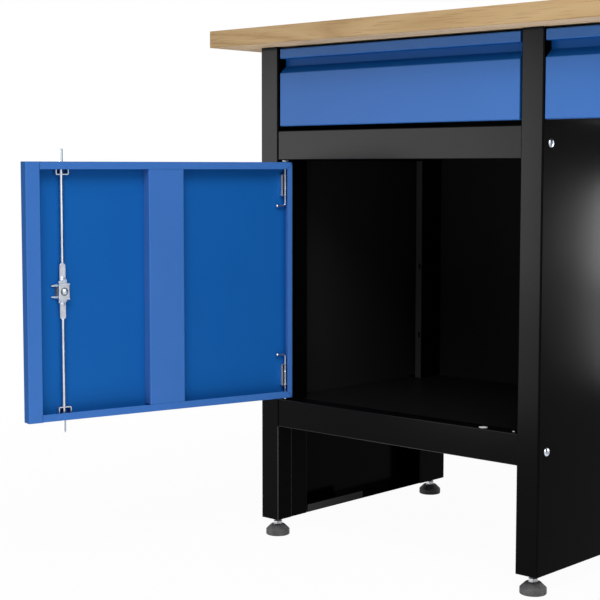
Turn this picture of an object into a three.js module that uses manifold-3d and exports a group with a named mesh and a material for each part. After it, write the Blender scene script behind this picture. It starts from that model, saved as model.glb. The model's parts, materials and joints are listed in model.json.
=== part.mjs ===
// Steel workbench: two door cabinets, a drawer over each cabinet, a third drawer over the
// open centre bay, and an oak worktop. Millimetres, +Z up, the front faces -Y.
// The left door stands open with its lock rods drawn in; the right door is shut.
import * as THREE from 'three';
import { mergeVertices } from 'three/addons/utils/BufferGeometryUtils.js';
import Module from 'manifold-3d';

const wasm = await Module();
wasm.setup();

// Layout of the bench
const centreBayWidth = 472;
const openingWidth = 477;
const pedestalDepth = 467;
const footClearance = 30;
const legHeight = 160;
const railHeight = 48;
const doorOpeningHeight = 398;
const headerHeight = 49;
const drawerOpeningHeight = 137;
const seat = 0.3;

// Worktop
const worktopThickness = 28;
const frontOverhang = 55;
const rearOverhang = 78;
const sideOverhang = 66;

// Folded side panels: a web with a box post along its front and rear edge
const frameSheet = 1.2;
const postWidth = 38;
const postDepth = 75;
const postLip = 14;
const postStepDepth = 34;
const postStep = 1.2;
const bottomFlangeWidth = 36;
const topFlangeWidth = 20;
const flangeEndGap = 3;
const footPlateThickness = 3;
const shelfSlotWidth = 4;
const shelfSlotHeight = 10;
const shelfSlotInset = 2;
const shelfSlotsAboveSill = [69, 197];

// Cabinet floor with its sill, header rail, back panel and rear tie beam
const frontSetback = 2;
const sillDepth = 28;
const floorDrop = 7;
const railReturn = 12;
const headerTopFlange = 30;
const headerBottomFlange = 22.5;
const headerLip = 6;
const backInset = 19;
const backFlange = 14;
const tieBeamHeight = 80;
const tieBeamDepth = 17;
const tieBeamDrop = 30;

// Drawers
const drawerSheet = 1;
const cabinetDrawerGap = 4;
const bayDrawerGap = 1.5;
const drawerGapBelow = 7;
const drawerGapAbove = 3.5;
const gripDepth = 14;
const gripSlopeRise = 12;
const gripUpright = 12;
const gripStrip = 16;
const frontTopReturn = 15;
const trayRise = 4;
const trayHeight = 80;
const trayRearGap = 10;
const runnerSpace = 14;
const runnerSheet = 1.2;
const runnerClearance = 1.5;
const runnerSlot = 6;
const runnerFrontGap = 24;
const runnerRearGap = 26;
const trayFlangeClearance = 3.5;

// Doors: folded pans that swing on a spring pin at each end of the hinge edge
const doorSheet = 1;
const doorThickness = 20;
const doorHingeGap = 3.5;
const doorFreeGap = 3;
const doorEndGap = 3;
const hingeLip = 9.6;
const freeLip = 22;
const endLip = 11.5;
const leftDoorOpenDegrees = 104.3;
const stiffenerWidth = 62;

// Hinge pins, their brackets and springs
const pinRadius = 1.75;
const pinClearance = 0.6;
const pinReach = 10;
const pinBendRadius = 4;
const pinHandleClearance = 12.5;
const pinHandleLength = 16;
const pinCollarWidth = 1.45;
const pinCollarThickness = 1.5;
const bracketStart = 20;
const bracketHeight = 37.5;
const bracketWidth = 11;
const bracketEdge = 2.35;
const bracketPlate = 1;
const bracketEarDepth = 9;
const springWire = 1.1;
const springClearance = 0.45;
const springBackGap = 0.4;
const springCurls = 8;

// Rod lock
const rodFromHingeEdge = 408;
const rodDepth = 7;
const rodRadius = 2.75;
const rodClearance = 0.6;
const rodStandout = 2;
const rodFlatWidth = 10.5;
const rodFlatThickness = 2.6;
const rodFlatLength = 27;
const rodFlatGap = 5;
const rackThickness = 2;
const rackEndGap = 1.5;
const pinionRadius = 4.3;
const pinionClearance = 0.4;
const lockWidth = 18;
const lockHeight = 25;
const lockRear = 14;
const lockFront = 2;
const lockBarrelRadius = 9;
const lockRosetteRadius = 13;
const lockRosetteThickness = 2.2;
const plugRadius = 6.5;
const plugThickness = 1.2;
const keySlotLength = 7;
const keySlotWidth = 1.6;
const keySlotDepth = 0.8;
const spindleHeadRadius = 5.4;
const spindleHeadThickness = 3;
const clipProngLength = 10;
const clipProngSpacing = 19.5;
const clipProngHeight = 3;
const clipProngThickness = 2;
const guideWidth = 21;
const guideDrop = 20;
const guideSheet = 1.5;
const guideDepth = 9;

// Levelling feet
const footInset = 20;
const footPadRadius = 20;
const footPadHeight = 16;
const footRim = 8.5;
const footChamfer = 2;
const footNeckRadius = 9.5;
const studRadius = 4;
const studClearance = 0.5;
const studAbovePlate = 20;
const nutAcrossFlats = 13;
const nutHeight = 6.7;

// How finely round pieces are faceted, and how far a cutter runs past what it cuts
const roundSides = 16;
const footSides = 20;
const rosetteSides = 24;
const rodSides = 12;
const pinSides = 10;
const pinBendSteps = 5;
const nutSides = 6;
const curlSteps = 8;
const curlSides = 5;
const cutMargin = 1;
const sameCorner = 1e-4;

// Levels and widths worked out from the sizes above
const pedestalWidth = openingWidth + 2 * postWidth;
const pedestalOuterX = centreBayWidth / 2 + pedestalWidth;
const postBottom = footClearance;
const railBottom = postBottom + legHeight;
const sillTop = railBottom + railHeight;
const headerBottom = sillTop + doorOpeningHeight;
const drawerSill = headerBottom + headerHeight;
const frameTop = drawerSill + drawerOpeningHeight;
const backPlane = pedestalDepth - backInset;
const openingLeft = postWidth;
const openingRight = postWidth + openingWidth;
const doorWidth = openingWidth - doorHingeGap - doorFreeGap;
const doorHeight = doorOpeningHeight - 2 * doorEndGap;
const trayFlange = runnerSpace - seat - runnerSheet - trayFlangeClearance;
const springMeanRadius = pinRadius + springClearance + springWire / 2;
const springOuterRadius = springMeanRadius + springWire / 2;
const pivotInset = doorSheet + seat + bracketEdge + pinRadius + pinClearance;
const pivotDepth = doorSheet + seat + bracketPlate + springBackGap + springOuterRadius;
const pinHandleDrop = bracketStart + bracketHeight + pinHandleClearance;
const rodFlatStart = lockHeight / 2 + rodFlatGap;
const rackTail = rodFlatStart - rackEndGap;

// Materials
const material = (color, roughness, metalness) =>
  new THREE.MeshStandardMaterial({ color, roughness, metalness });
const oak = material(0xc9a878, 0.55, 0);
const blackPaint = material(0x161617, 0.35, 0);
const bluePaint = material(0x2461b0, 0.4, 0);
const zincPlate = material(0xc2c5c8, 0.35, 1);
const runnerSteel = material(0xa9adb0, 0.45, 1);
const footPlastic = material(0x4c4c4e, 0.6, 0);

// A geometry with shared corners, no empty triangles and its faces pointing out
function closedBody(geometry) {
  const bare = geometry.clone();
  bare.deleteAttribute('normal');
  bare.deleteAttribute('uv');
  const merged = mergeVertices(bare, sameCorner);
  const corner = merged.attributes.position;
  const kept = [];
  let volume = 0;
  for (let i = 0; i < merged.index.count; i += 3) {
    const [a, b, c] = [0, 1, 2].map((k) => merged.index.getX(i + k));
    if (a === b || b === c || c === a) continue;
    kept.push(a, b, c);
    const [pa, pb, pc] = [a, b, c].map((k) =>
      new THREE.Vector3().fromBufferAttribute(corner, k));
    volume += pa.dot(pb.cross(pc));
  }
  if (volume < 0) kept.reverse();
  const body = new THREE.BufferGeometry();
  body.setAttribute('position', corner.clone());
  body.setIndex(kept);
  return body;
}

function toManifold(geometry) {
  const body = closedBody(geometry);
  const vertProperties = new Float32Array(body.attributes.position.array);
  const triVerts = new Uint32Array(body.index.array);
  return new wasm.Manifold(new wasm.Mesh({ numProp: 3, vertProperties, triVerts }));
}

function toGeometry(manifold) {
  const { vertProperties, triVerts } = manifold.getMesh();
  const geometry = new THREE.BufferGeometry();
  geometry.setAttribute('position', new THREE.Float32BufferAttribute(vertProperties, 3));
  geometry.setIndex([...triVerts]);
  return geometry;
}

const join = (first, ...others) =>
  toGeometry(others.reduce((sum, other) => sum.add(toManifold(other)), toManifold(first)));
const cut = (first, ...others) =>
  toGeometry(others.reduce((rest, other) => rest.subtract(toManifold(other)), toManifold(first)));

function box([x0, x1], [y0, y1], [z0, z1]) {
  const geometry = new THREE.BoxGeometry(x1 - x0, y1 - y0, z1 - z0);
  return geometry.translate((x0 + x1) / 2, (y0 + y1) / 2, (z0 + z1) / 2);
}

function uprightBar(radius, x, y, [z0, z1], sides = roundSides) {
  const geometry = new THREE.CylinderGeometry(radius, radius, z1 - z0, sides);
  return geometry.rotateX(Math.PI / 2).translate(x, y, (z0 + z1) / 2);
}

function crossBar(radius, x, z, [y0, y1], sides = roundSides) {
  const geometry = new THREE.CylinderGeometry(radius, radius, y1 - y0, sides);
  return geometry.translate(x, (y0 + y1) / 2, z);
}

// The section of a folded sheet: a path along its outer side, thickened to the right of travel
function sheetShape(path, thickness) {
  const outer = path.map(([x, y]) => new THREE.Vector2(x, y));
  const heading = (i) => outer[i + 1].clone().sub(outer[i]).normalize();
  const inner = outer.map((point, i) => {
    const before = heading(Math.max(i - 1, 0));
    const after = heading(Math.min(i, outer.length - 2));
    const mitre = new THREE.Vector2(before.y + after.y, -before.x - after.x);
    return mitre.multiplyScalar((2 * thickness) / mitre.lengthSq()).add(point);
  });
  return new THREE.Shape([...outer, ...inner.reverse()]);
}

const extrude = (shape, depth) => new THREE.ExtrudeGeometry(shape, { depth, bevelEnabled: false });

// Plan sections run up Z, (Y, Z) sections along X, and (X, Z) sections along Y
const extrudeUp = (shape, [z0, z1]) => extrude(shape, z1 - z0).translate(0, 0, z0);
const acrossBench = new THREE.Matrix4().set(0, 0, 1, 0, 1, 0, 0, 0, 0, 1, 0, 0, 0, 0, 0, 1);
const extrudeAcross = (shape, [x0, x1]) =>
  extrude(shape, x1 - x0).applyMatrix4(acrossBench).translate(x0, 0, 0);
const extrudeBack = (shape, [y0, y1]) =>
  extrude(shape, y1 - y0).rotateX(Math.PI / 2).translate(0, y1, 0);

// A round tube through a list of points, with flat ends
function tubeThrough(points, radius, sides) {
  const vertices = [];
  const faces = [];
  const normal = new THREE.Vector3();
  points.forEach((point, i) => {
    const ahead = points[Math.min(i + 1, points.length - 1)];
    const behind = points[Math.max(i - 1, 0)];
    const tangent = ahead.clone().sub(behind).normalize();
    if (i === 0) normal.set(tangent.z, tangent.x, tangent.y);
    normal.addScaledVector(tangent, -normal.dot(tangent)).normalize();
    const binormal = tangent.clone().cross(normal);
    for (let k = 0; k < sides; k += 1) {
      const turn = (2 * Math.PI * k) / sides;
      const corner = point.clone().addScaledVector(normal, radius * Math.cos(turn));
      vertices.push(corner.addScaledVector(binormal, radius * Math.sin(turn)));
    }
  });
  const ring = (i, k) => i * sides + (k % sides);
  for (let i = 0; i < points.length - 1; i += 1) {
    for (let k = 0; k < sides; k += 1) {
      faces.push(ring(i, k), ring(i, k + 1), ring(i + 1, k + 1));
      faces.push(ring(i, k), ring(i + 1, k + 1), ring(i + 1, k));
    }
  }
  const last = points.length - 1;
  for (let k = 1; k < sides - 1; k += 1) {
    faces.push(ring(0, 0), ring(0, k + 1), ring(0, k));
    faces.push(ring(last, 0), ring(last, k), ring(last, k + 1));
  }
  const geometry = new THREE.BufferGeometry().setFromPoints(vertices);
  geometry.setIndex(faces);
  return geometry;
}

const bench = new THREE.Group();

function mirrored(geometry) {
  const flipped = closedBody(geometry).scale(-1, 1, 1);
  return closedBody(flipped);
}

function addPiece(name, geometry, finish, parent = bench) {
  const mesh = new THREE.Mesh(closedBody(geometry), finish);
  mesh.name = name;
  parent.add(mesh);
}

// Pedestals are drawn from their outer face inwards, and the right one is the left one mirrored
function addToPedestal(side, name, geometry, finish) {
  const placed = geometry.clone().translate(-pedestalOuterX, 0, 0);
  addPiece(`${side}_${name}`, side === 'left' ? placed : mirrored(placed), finish);
}

function sidePanel() {
  const stepX = postWidth - postStep;
  const rearPost = pedestalDepth - postDepth;
  const plan = sheetShape([
    [stepX - postLip, postDepth],
    [stepX, postDepth],
    [stepX, postStepDepth],
    [postWidth, postStepDepth],
    [postWidth, 0],
    [0, 0],
    [0, pedestalDepth],
    [postWidth, pedestalDepth],
    [postWidth, rearPost],
    [postWidth - postLip, rearPost],
  ], frameSheet);
  const bottom = [postBottom, postBottom + frameSheet];
  const top = [frameTop - frameSheet, frameTop];
  const plate = [postBottom, postBottom + footPlateThickness];
  const betweenPosts = [postDepth + flangeEndGap, rearPost - flangeEndGap];
  const bottomFlange = box([0, bottomFlangeWidth], betweenPosts, bottom);
  const topFlange = box([-topFlangeWidth, frameSheet], [postDepth, rearPost], top);
  const frontPlate = box([0, postWidth], [0, postStepDepth], plate);
  const rearPlate = box([0, postWidth], [rearPost, pedestalDepth], plate);
  const folded = extrudeUp(plan, [postBottom, frameTop]);
  const panel = join(folded, bottomFlange, topFlange, frontPlate, rearPlate);
  const throughPlate = [plate[0] - cutMargin, plate[1] + cutMargin];
  const studHoles = footDepths().map((y) =>
    uprightBar(studRadius + studClearance, postWidth / 2, y, throughPlate));
  const slotEnd = postWidth - shelfSlotInset - frameSheet;
  const slots = shelfSlotsAboveSill.map((rise) => box(
    [slotEnd - shelfSlotWidth, slotEnd],
    [rearPost - cutMargin, rearPost + frameSheet + cutMargin],
    [sillTop + rise, sillTop + rise + shelfSlotHeight],
  ));
  return cut(panel, ...studHoles, ...slots);
}

function footDepths() {
  return [footInset, pedestalDepth - footInset];
}

function backPanel() {
  const left = openingLeft + seat;
  const right = openingRight - seat;
  const plan = sheetShape([
    [left, backPlane + backFlange],
    [left, backPlane],
    [right, backPlane],
    [right, backPlane + backFlange],
  ], -frameSheet);
  return extrudeUp(plan, [railBottom, frameTop - seat]);
}

// Holes that the hinge pin and the lock rod drop into, in pedestal places
function boltHoles([z0, z1]) {
  const hingeEdge = openingLeft + doorHingeGap;
  const pinX = hingeEdge + pivotInset;
  const rodX = hingeEdge + rodFromHingeEdge;
  return [
    uprightBar(pinRadius + pinClearance, pinX, frontSetback + pivotDepth, [z0, z1]),
    uprightBar(rodRadius + rodClearance, rodX, frontSetback + rodDepth, [z0, z1]),
  ];
}

function cabinetFloor() {
  const floorTop = sillTop - floorDrop;
  const rear = backPlane - seat;
  const sillBack = frontSetback + sillDepth;
  const section = sheetShape([
    [frontSetback + railReturn, railBottom],
    [frontSetback, railBottom],
    [frontSetback, sillTop],
    [sillBack, sillTop],
    [sillBack, floorTop],
    [rear, floorTop],
  ], frameSheet);
  const tray = extrudeAcross(section, [openingLeft + seat, openingRight - seat]);
  const wings = box(
    [frameSheet + seat, pedestalWidth - frameSheet - seat],
    [postDepth + seat, pedestalDepth - postDepth - seat],
    [floorTop - frameSheet, floorTop],
  );
  return cut(join(tray, wings), ...boltHoles([sillTop - frameSheet - cutMargin, sillTop + cutMargin]));
}

function headerRail() {
  const lipY = frontSetback + headerBottomFlange;
  const section = sheetShape([
    [lipY, headerBottom + headerLip],
    [lipY, headerBottom],
    [frontSetback, headerBottom],
    [frontSetback, drawerSill],
    [frontSetback + headerTopFlange, drawerSill],
  ], frameSheet);
  const rail = extrudeAcross(section, [openingLeft + seat, openingRight - seat]);
  return cut(rail, ...boltHoles([headerBottom - cutMargin, headerBottom + frameSheet + cutMargin]));
}

// Levelling foot: plastic pad, hexagon and stud, turned about its own axis
function levellingFoot() {
  const plateTop = postBottom + footPlateThickness;
  const profile = [
    [0, 0],
    [footPadRadius - footChamfer, 0],
    [footPadRadius, footChamfer],
    [footPadRadius, footRim],
    [footNeckRadius, footPadHeight],
    [studRadius, footPadHeight],
    [studRadius, plateTop + studAbovePlate],
    [0, plateTop + studAbovePlate],
  ].map(([r, z]) => new THREE.Vector2(r, z));
  const body = new THREE.LatheGeometry(profile, footSides).rotateX(Math.PI / 2);
  const nutSpan = [footPadHeight - seat, footPadHeight + nutHeight];
  const nut = uprightBar(nutAcrossFlats / Math.sqrt(3), 0, 0, nutSpan, nutSides);
  return join(body, nut);
}

function addPedestal(side) {
  const panel = sidePanel();
  const innerPanel = mirrored(panel).translate(pedestalWidth, 0, 0);
  addToPedestal(side, 'outer_side_panel', panel, blackPaint);
  addToPedestal(side, 'inner_side_panel', innerPanel, blackPaint);
  addToPedestal(side, 'back_panel', backPanel(), blackPaint);
  addToPedestal(side, 'cabinet_floor', cabinetFloor(), blackPaint);
  addToPedestal(side, 'header_rail', headerRail(), blackPaint);
  const columns = { outer: postWidth / 2, inner: pedestalWidth - postWidth / 2 };
  const rows = { front: footDepths()[0], rear: footDepths()[1] };
  for (const [column, x] of Object.entries(columns)) {
    for (const [row, y] of Object.entries(rows)) {
      const foot = levellingFoot().translate(x, y, 0);
      addToPedestal(side, `${row}_${column}_foot`, foot, footPlastic);
    }
  }
}

function addWorktop() {
  const halfWidth = pedestalOuterX + sideOverhang;
  const top = box(
    [-halfWidth, halfWidth],
    [-frontOverhang, pedestalDepth + rearOverhang],
    [frameTop + seat, frameTop + worktopThickness],
  );
  addPiece('worktop', top, oak);
}

function addTieBeam() {
  const topEdge = frameTop - tieBeamDrop;
  const front = pedestalDepth - tieBeamDepth;
  const section = sheetShape([
    [pedestalDepth, topEdge - tieBeamHeight],
    [front, topEdge - tieBeamHeight],
    [front, topEdge],
    [pedestalDepth, topEdge],
  ], frameSheet);
  const reach = centreBayWidth / 2 - seat;
  addPiece('rear_tie_beam', extrudeAcross(section, [-reach, reach]), blackPaint);
}

// A drawer and its two runners, in the bay between two faces of the frame
function addDrawer(name, [bayLeft, bayRight], sideGap) {
  const low = drawerSill + drawerGapBelow;
  const high = frameTop - drawerGapAbove;
  const gripTop = high - gripStrip;
  const gripLow = gripTop - gripUpright;
  const faceTop = gripLow - gripSlopeRise;
  const gripBack = frontSetback + gripDepth;
  const wallFront = gripBack + drawerSheet + seat;
  const frontSection = sheetShape([
    [wallFront - seat, low],
    [frontSetback, low],
    [frontSetback, faceTop],
    [gripBack, gripLow],
    [gripBack, gripTop],
    [frontSetback, gripTop],
    [frontSetback, high],
    [frontSetback + frontTopReturn, high],
  ], drawerSheet);
  const front = extrudeAcross(frontSection, [bayLeft + sideGap, bayRight - sideGap]);
  addPiece(`${name}_drawer_front`, front, bluePaint);

  const left = bayLeft + runnerSpace;
  const right = bayRight - runnerSpace;
  const floor = low + trayRise;
  const rim = floor + trayHeight;
  const rear = backPlane - trayRearGap;
  const traySection = sheetShape([
    [left - trayFlange, rim],
    [left, rim],
    [left, floor],
    [right, floor],
    [right, rim],
    [right + trayFlange, rim],
  ], -drawerSheet);
  const tray = join(
    extrudeBack(traySection, [wallFront, rear]),
    box([left, right], [wallFront, wallFront + drawerSheet], [floor, gripTop]),
    box([left, right], [rear - drawerSheet, rear], [floor, rim]),
  );
  addPiece(`${name}_drawer_tray`, tray, blackPaint);

  const slotFloor = rim - seat;
  const reach = runnerSpace - seat - runnerClearance;
  const slotTop = slotFloor + runnerSlot + runnerSheet;
  const runnerSection = sheetShape([
    [reach, slotFloor - runnerSheet],
    [0, slotFloor - runnerSheet],
    [0, slotTop],
    [reach, slotTop],
  ], runnerSheet);
  const runner = extrudeBack(runnerSection, [runnerFrontGap, pedestalDepth - runnerRearGap]);
  const leftRunner = runner.clone().translate(bayLeft + seat, 0, 0);
  const rightRunner = mirrored(runner).translate(bayRight - seat, 0, 0);
  addPiece(`${name}_drawer_left_runner`, leftRunner, runnerSteel);
  addPiece(`${name}_drawer_right_runner`, rightRunner, runnerSteel);
}

// Door pieces are drawn shut, from the hinge edge, the front face and the bottom edge
function doorPanel() {
  const within = (size) => [doorSheet, size - doorSheet];
  const lipThrough = [doorThickness - doorSheet - cutMargin, doorThickness + cutMargin];
  const skinThrough = [-cutMargin, doorSheet + cutMargin];
  const edgesThrough = [-cutMargin, doorHeight + cutMargin];
  return cut(
    box([0, doorWidth], [0, doorThickness], [0, doorHeight]),
    box(within(doorWidth), within(doorThickness), within(doorHeight)),
    box([hingeLip, doorWidth - freeLip], lipThrough, [endLip, doorHeight - endLip]),
    uprightBar(pinRadius + pinClearance, pivotInset, pivotDepth, edgesThrough),
    uprightBar(rodRadius + rodClearance, rodFromHingeEdge, rodDepth, edgesThrough),
    crossBar(lockBarrelRadius + seat, rodFromHingeEdge, doorHeight / 2, skinThrough),
  );
}

function doorStiffener() {
  const left = (doorWidth - stiffenerWidth) / 2;
  const foot = doorSheet + seat;
  const plan = sheetShape([
    [left, foot],
    [left, doorThickness],
    [left + stiffenerWidth, doorThickness],
    [left + stiffenerWidth, foot],
  ], doorSheet);
  return extrudeUp(plan, [endLip + seat, doorHeight - endLip - seat]);
}

function lockBody() {
  const x = rodFromHingeEdge;
  const z = doorHeight / 2;
  const bore = pinionRadius + seat;
  const rosetteBack = -seat;
  const rosetteFront = rosetteBack - lockRosetteThickness;
  const prongs = [-1, 1].map((end) => {
    const middle = z + (end * clipProngSpacing) / 2;
    return box(
      [x, x + lockWidth / 2 + clipProngLength],
      [lockFront, lockFront + clipProngThickness],
      [middle - clipProngHeight / 2, middle + clipProngHeight / 2],
    );
  });
  const around = (centre, reach) => [centre - reach, centre + reach];
  const solid = join(
    box(around(x, lockWidth / 2), [lockFront, lockRear], around(z, lockHeight / 2)),
    crossBar(lockBarrelRadius, x, z, [rosetteFront, lockFront + seat]),
    crossBar(lockRosetteRadius, x, z, [rosetteFront, rosetteBack], rosetteSides),
    ...prongs,
  );
  const rackSpace = pinionRadius + pinionClearance + rackThickness + seat;
  const rackDepth = rodFlatThickness / 2 + seat;
  const plugSeat = [rosetteFront - cutMargin, rosetteFront + plugThickness + seat];
  return cut(
    solid,
    box(around(x, rackSpace), around(rodDepth, rackDepth), around(z, lockHeight / 2 + cutMargin)),
    crossBar(bore, x, z, [rosetteFront - cutMargin, lockRear + cutMargin]),
    crossBar(plugRadius + seat, x, z, plugSeat),
  );
}

function lockSpindle() {
  const x = rodFromHingeEdge;
  const z = doorHeight / 2;
  const front = -seat - lockRosetteThickness;
  const headFront = lockRear + seat;
  const spindle = join(
    crossBar(pinionRadius, x, z, [front, headFront + spindleHeadThickness / 2]),
    crossBar(plugRadius, x, z, [front, front + plugThickness]),
    crossBar(spindleHeadRadius, x, z, [headFront, headFront + spindleHeadThickness]),
  );
  return cut(spindle, box(
    [x - keySlotWidth / 2, x + keySlotWidth / 2],
    [front - cutMargin, front + keySlotDepth],
    [z - keySlotLength / 2, z + keySlotLength / 2],
  ));
}

// The upper rod with its flattened end and rack tail; the lower one is this one turned half round
function lockRod() {
  const tip = doorHeight / 2 + rodStandout;
  const flatEnd = rodFlatStart + rodFlatLength;
  const halfFlat = rodFlatThickness / 2;
  const depth = [rodDepth - halfFlat, rodDepth + halfFlat];
  const rackInner = pinionRadius + pinionClearance;
  return join(
    uprightBar(rodRadius, 0, rodDepth, [flatEnd, tip], rodSides),
    box([-rodFlatWidth / 2, rodFlatWidth / 2], depth, [rodFlatStart, flatEnd]),
    crossBar(rodFlatWidth / 2, 0, flatEnd, depth),
    box([-rackInner - rackThickness, -rackInner], depth, [-rackTail, rodFlatStart + seat]),
  );
}

function rodGuide() {
  const top = doorHeight - doorSheet - seat;
  const low = doorHeight - guideDrop;
  const halfWidth = guideWidth / 2;
  const depth = [rodDepth - guideDepth / 2, rodDepth + guideDepth / 2];
  const inside = halfWidth - guideSheet;
  const strap = cut(
    box([-halfWidth, halfWidth], depth, [low, top]),
    box([-inside, inside], [0, doorThickness], [low + guideSheet, top + cutMargin]),
    uprightBar(rodRadius + rodClearance, 0, rodDepth, [low - cutMargin, low + guideSheet + cutMargin]),
  );
  return strap.translate(rodFromHingeEdge, 0, 0);
}

function hingeBracket() {
  const top = doorHeight - bracketStart;
  const low = top - bracketHeight;
  const left = doorSheet + seat;
  const width = [left, left + bracketWidth];
  const back = doorSheet + seat;
  const ears = [back, back + bracketPlate + bracketEarDepth];
  const bracket = join(
    box(width, [back, back + bracketPlate], [low, top]),
    box(width, ears, [top - bracketPlate, top]),
    box(width, ears, [low, low + bracketPlate]),
  );
  const earsThrough = [low - cutMargin, top + cutMargin];
  return cut(bracket, uprightBar(pinRadius + pinClearance, pivotInset, pivotDepth, earsThrough));
}

function springSpan() {
  const upperEar = doorHeight - bracketStart - bracketPlate;
  const lowerEar = doorHeight - bracketStart - bracketHeight + bracketPlate;
  return [lowerEar + seat, upperEar - seat - pinCollarThickness - seat];
}

function hingePin() {
  const tip = doorHeight + doorEndGap + pinReach;
  const bendHeight = doorHeight - pinHandleDrop;
  const points = [new THREE.Vector3(pivotInset, pivotDepth, tip)];
  for (let i = 0; i <= pinBendSteps; i += 1) {
    const turn = (Math.PI / 2) * (i / pinBendSteps);
    points.push(new THREE.Vector3(
      pivotInset + pinBendRadius * (1 - Math.cos(turn)),
      pivotDepth,
      bendHeight + pinBendRadius * (1 - Math.sin(turn)),
    ));
  }
  points.push(new THREE.Vector3(pivotInset + pinHandleLength, pivotDepth, bendHeight));
  const collarLow = springSpan()[1] + seat;
  const collarSpan = [collarLow, collarLow + pinCollarThickness];
  const collarRadius = pinRadius + pinCollarWidth;
  const collar = uprightBar(collarRadius, pivotInset, pivotDepth, collarSpan, rodSides);
  return join(tubeThrough(points, pinRadius, pinSides), collar);
}

function springPath() {
  const [low, top] = springSpan();
  const start = low + springWire / 2;
  const rise = top - low - springWire;
  const steps = springCurls * curlSteps;
  return Array.from({ length: steps + 1 }, (_, i) => {
    const turn = (2 * Math.PI * i) / curlSteps;
    return new THREE.Vector3(
      pivotInset + springMeanRadius * Math.cos(turn),
      pivotDepth + springMeanRadius * Math.sin(turn),
      start + (rise * i) / steps,
    );
  });
}

function springLeastGap(path) {
  let least = Infinity;
  for (let i = 0; i < path.length; i += 1) {
    for (let j = i + curlSteps / 2; j < path.length; j += 1) {
      least = Math.min(least, path[i].distanceTo(path[j]) - springWire);
    }
  }
  return least;
}

// A piece at the top of the door, turned over for the bottom of the door
function turnedOver(geometry) {
  const flipped = closedBody(geometry).scale(1, 1, -1);
  return closedBody(flipped.translate(0, 0, doorHeight));
}

function addDoor(side, openDegrees) {
  const hingeX = pedestalOuterX - openingLeft - doorHingeGap - pivotInset;
  const sign = side === 'left' ? -1 : 1;
  const door = new THREE.Group();
  door.position.set(sign * hingeX, frontSetback + pivotDepth, sillTop + doorEndGap);
  door.rotation.z = sign * THREE.MathUtils.degToRad(openDegrees);
  bench.add(door);
  const add = (name, geometry, finish) => {
    const aboutPivot = geometry.clone().translate(-pivotInset, -pivotDepth, 0);
    const handed = side === 'left' ? aboutPivot : mirrored(aboutPivot);
    addPiece(`${side}_door_${name}`, handed, finish, door);
  };
  add('panel', doorPanel(), bluePaint);
  add('stiffener', doorStiffener(), bluePaint);
  add('lock_body', lockBody(), zincPlate);
  add('lock_spindle', lockSpindle(), zincPlate);
  const rodPlace = [rodFromHingeEdge, 0, doorHeight / 2];
  const upperRod = lockRod();
  const lowerRod = lockRod().rotateY(Math.PI);
  add('upper_rod', upperRod.translate(...rodPlace), zincPlate);
  add('lower_rod', lowerRod.translate(...rodPlace), zincPlate);
  const ends = {
    rod_guide: rodGuide(),
    hinge_bracket: hingeBracket(),
    hinge_pin: hingePin(),
    hinge_spring: tubeThrough(springPath(), springWire / 2, curlSides),
  };
  for (const [name, geometry] of Object.entries(ends)) {
    add(`upper_${name}`, geometry, zincPlate);
    add(`lower_${name}`, turnedOver(geometry), zincPlate);
  }
}

for (const side of ['left', 'right']) addPedestal(side);
addWorktop();
addTieBeam();
const cabinetBay = [openingLeft - pedestalOuterX, openingRight - pedestalOuterX];
addDrawer('left', cabinetBay, cabinetDrawerGap);
addDrawer('centre', [-centreBayWidth / 2, centreBayWidth / 2], bayDrawerGap);
addDrawer('right', [-cabinetBay[1], -cabinetBay[0]], cabinetDrawerGap);
addDoor('left', leftDoorOpenDegrees);
addDoor('right', 0);
console.log(`hinge spring least gap to itself ${springLeastGap(springPath()).toFixed(2)} mm`);

// The origin is on the floor under the middle of the bench as it stands, open door included
const extent = new THREE.Box3().setFromObject(bench);
const middle = extent.getCenter(new THREE.Vector3());
bench.position.set(-middle.x, -middle.y, -extent.min.z);
bench.updateMatrixWorld(true);

export default bench;
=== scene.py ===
import json
import math

import bmesh
import bpy
from mathutils import Matrix, Vector


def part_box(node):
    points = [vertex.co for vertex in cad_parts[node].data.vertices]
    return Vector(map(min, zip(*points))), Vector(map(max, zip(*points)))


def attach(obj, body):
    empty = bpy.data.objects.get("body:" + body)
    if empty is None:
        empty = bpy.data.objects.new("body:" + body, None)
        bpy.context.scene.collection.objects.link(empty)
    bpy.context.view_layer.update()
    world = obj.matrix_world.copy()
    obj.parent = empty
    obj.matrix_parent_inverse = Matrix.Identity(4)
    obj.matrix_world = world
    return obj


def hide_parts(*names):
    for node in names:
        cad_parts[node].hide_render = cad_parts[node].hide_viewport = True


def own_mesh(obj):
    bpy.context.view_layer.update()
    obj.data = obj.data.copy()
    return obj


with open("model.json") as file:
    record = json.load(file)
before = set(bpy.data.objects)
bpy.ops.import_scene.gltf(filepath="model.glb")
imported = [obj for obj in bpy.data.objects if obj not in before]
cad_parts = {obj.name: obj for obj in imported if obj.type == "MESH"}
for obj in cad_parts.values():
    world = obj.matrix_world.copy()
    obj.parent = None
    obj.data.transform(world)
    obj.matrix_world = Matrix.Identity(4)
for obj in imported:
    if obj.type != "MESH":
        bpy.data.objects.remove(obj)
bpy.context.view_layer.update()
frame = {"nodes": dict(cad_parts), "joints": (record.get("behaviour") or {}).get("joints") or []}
scene = bpy.context.scene
scene.view_settings.view_transform = "Standard"
print("frame loaded:", len(frame["nodes"]), "nodes")


# Where the bench stands, in millimetres
def corners(node):
    low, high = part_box(node)
    return low * 1000, high * 1000


joints = {joint["name"]: joint for joint in frame["joints"]}
sides = ("left", "right")
topFlangeReach = 20
pedestalWidth = 553
topLow, topHigh = corners("worktop")
benchMiddle = (topLow.x + topHigh.x) / 2
panelLow = corners("left_outer_side_panel")[0]
postFront = panelLow.y
outerFace = panelLow.x + topFlangeReach

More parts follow.
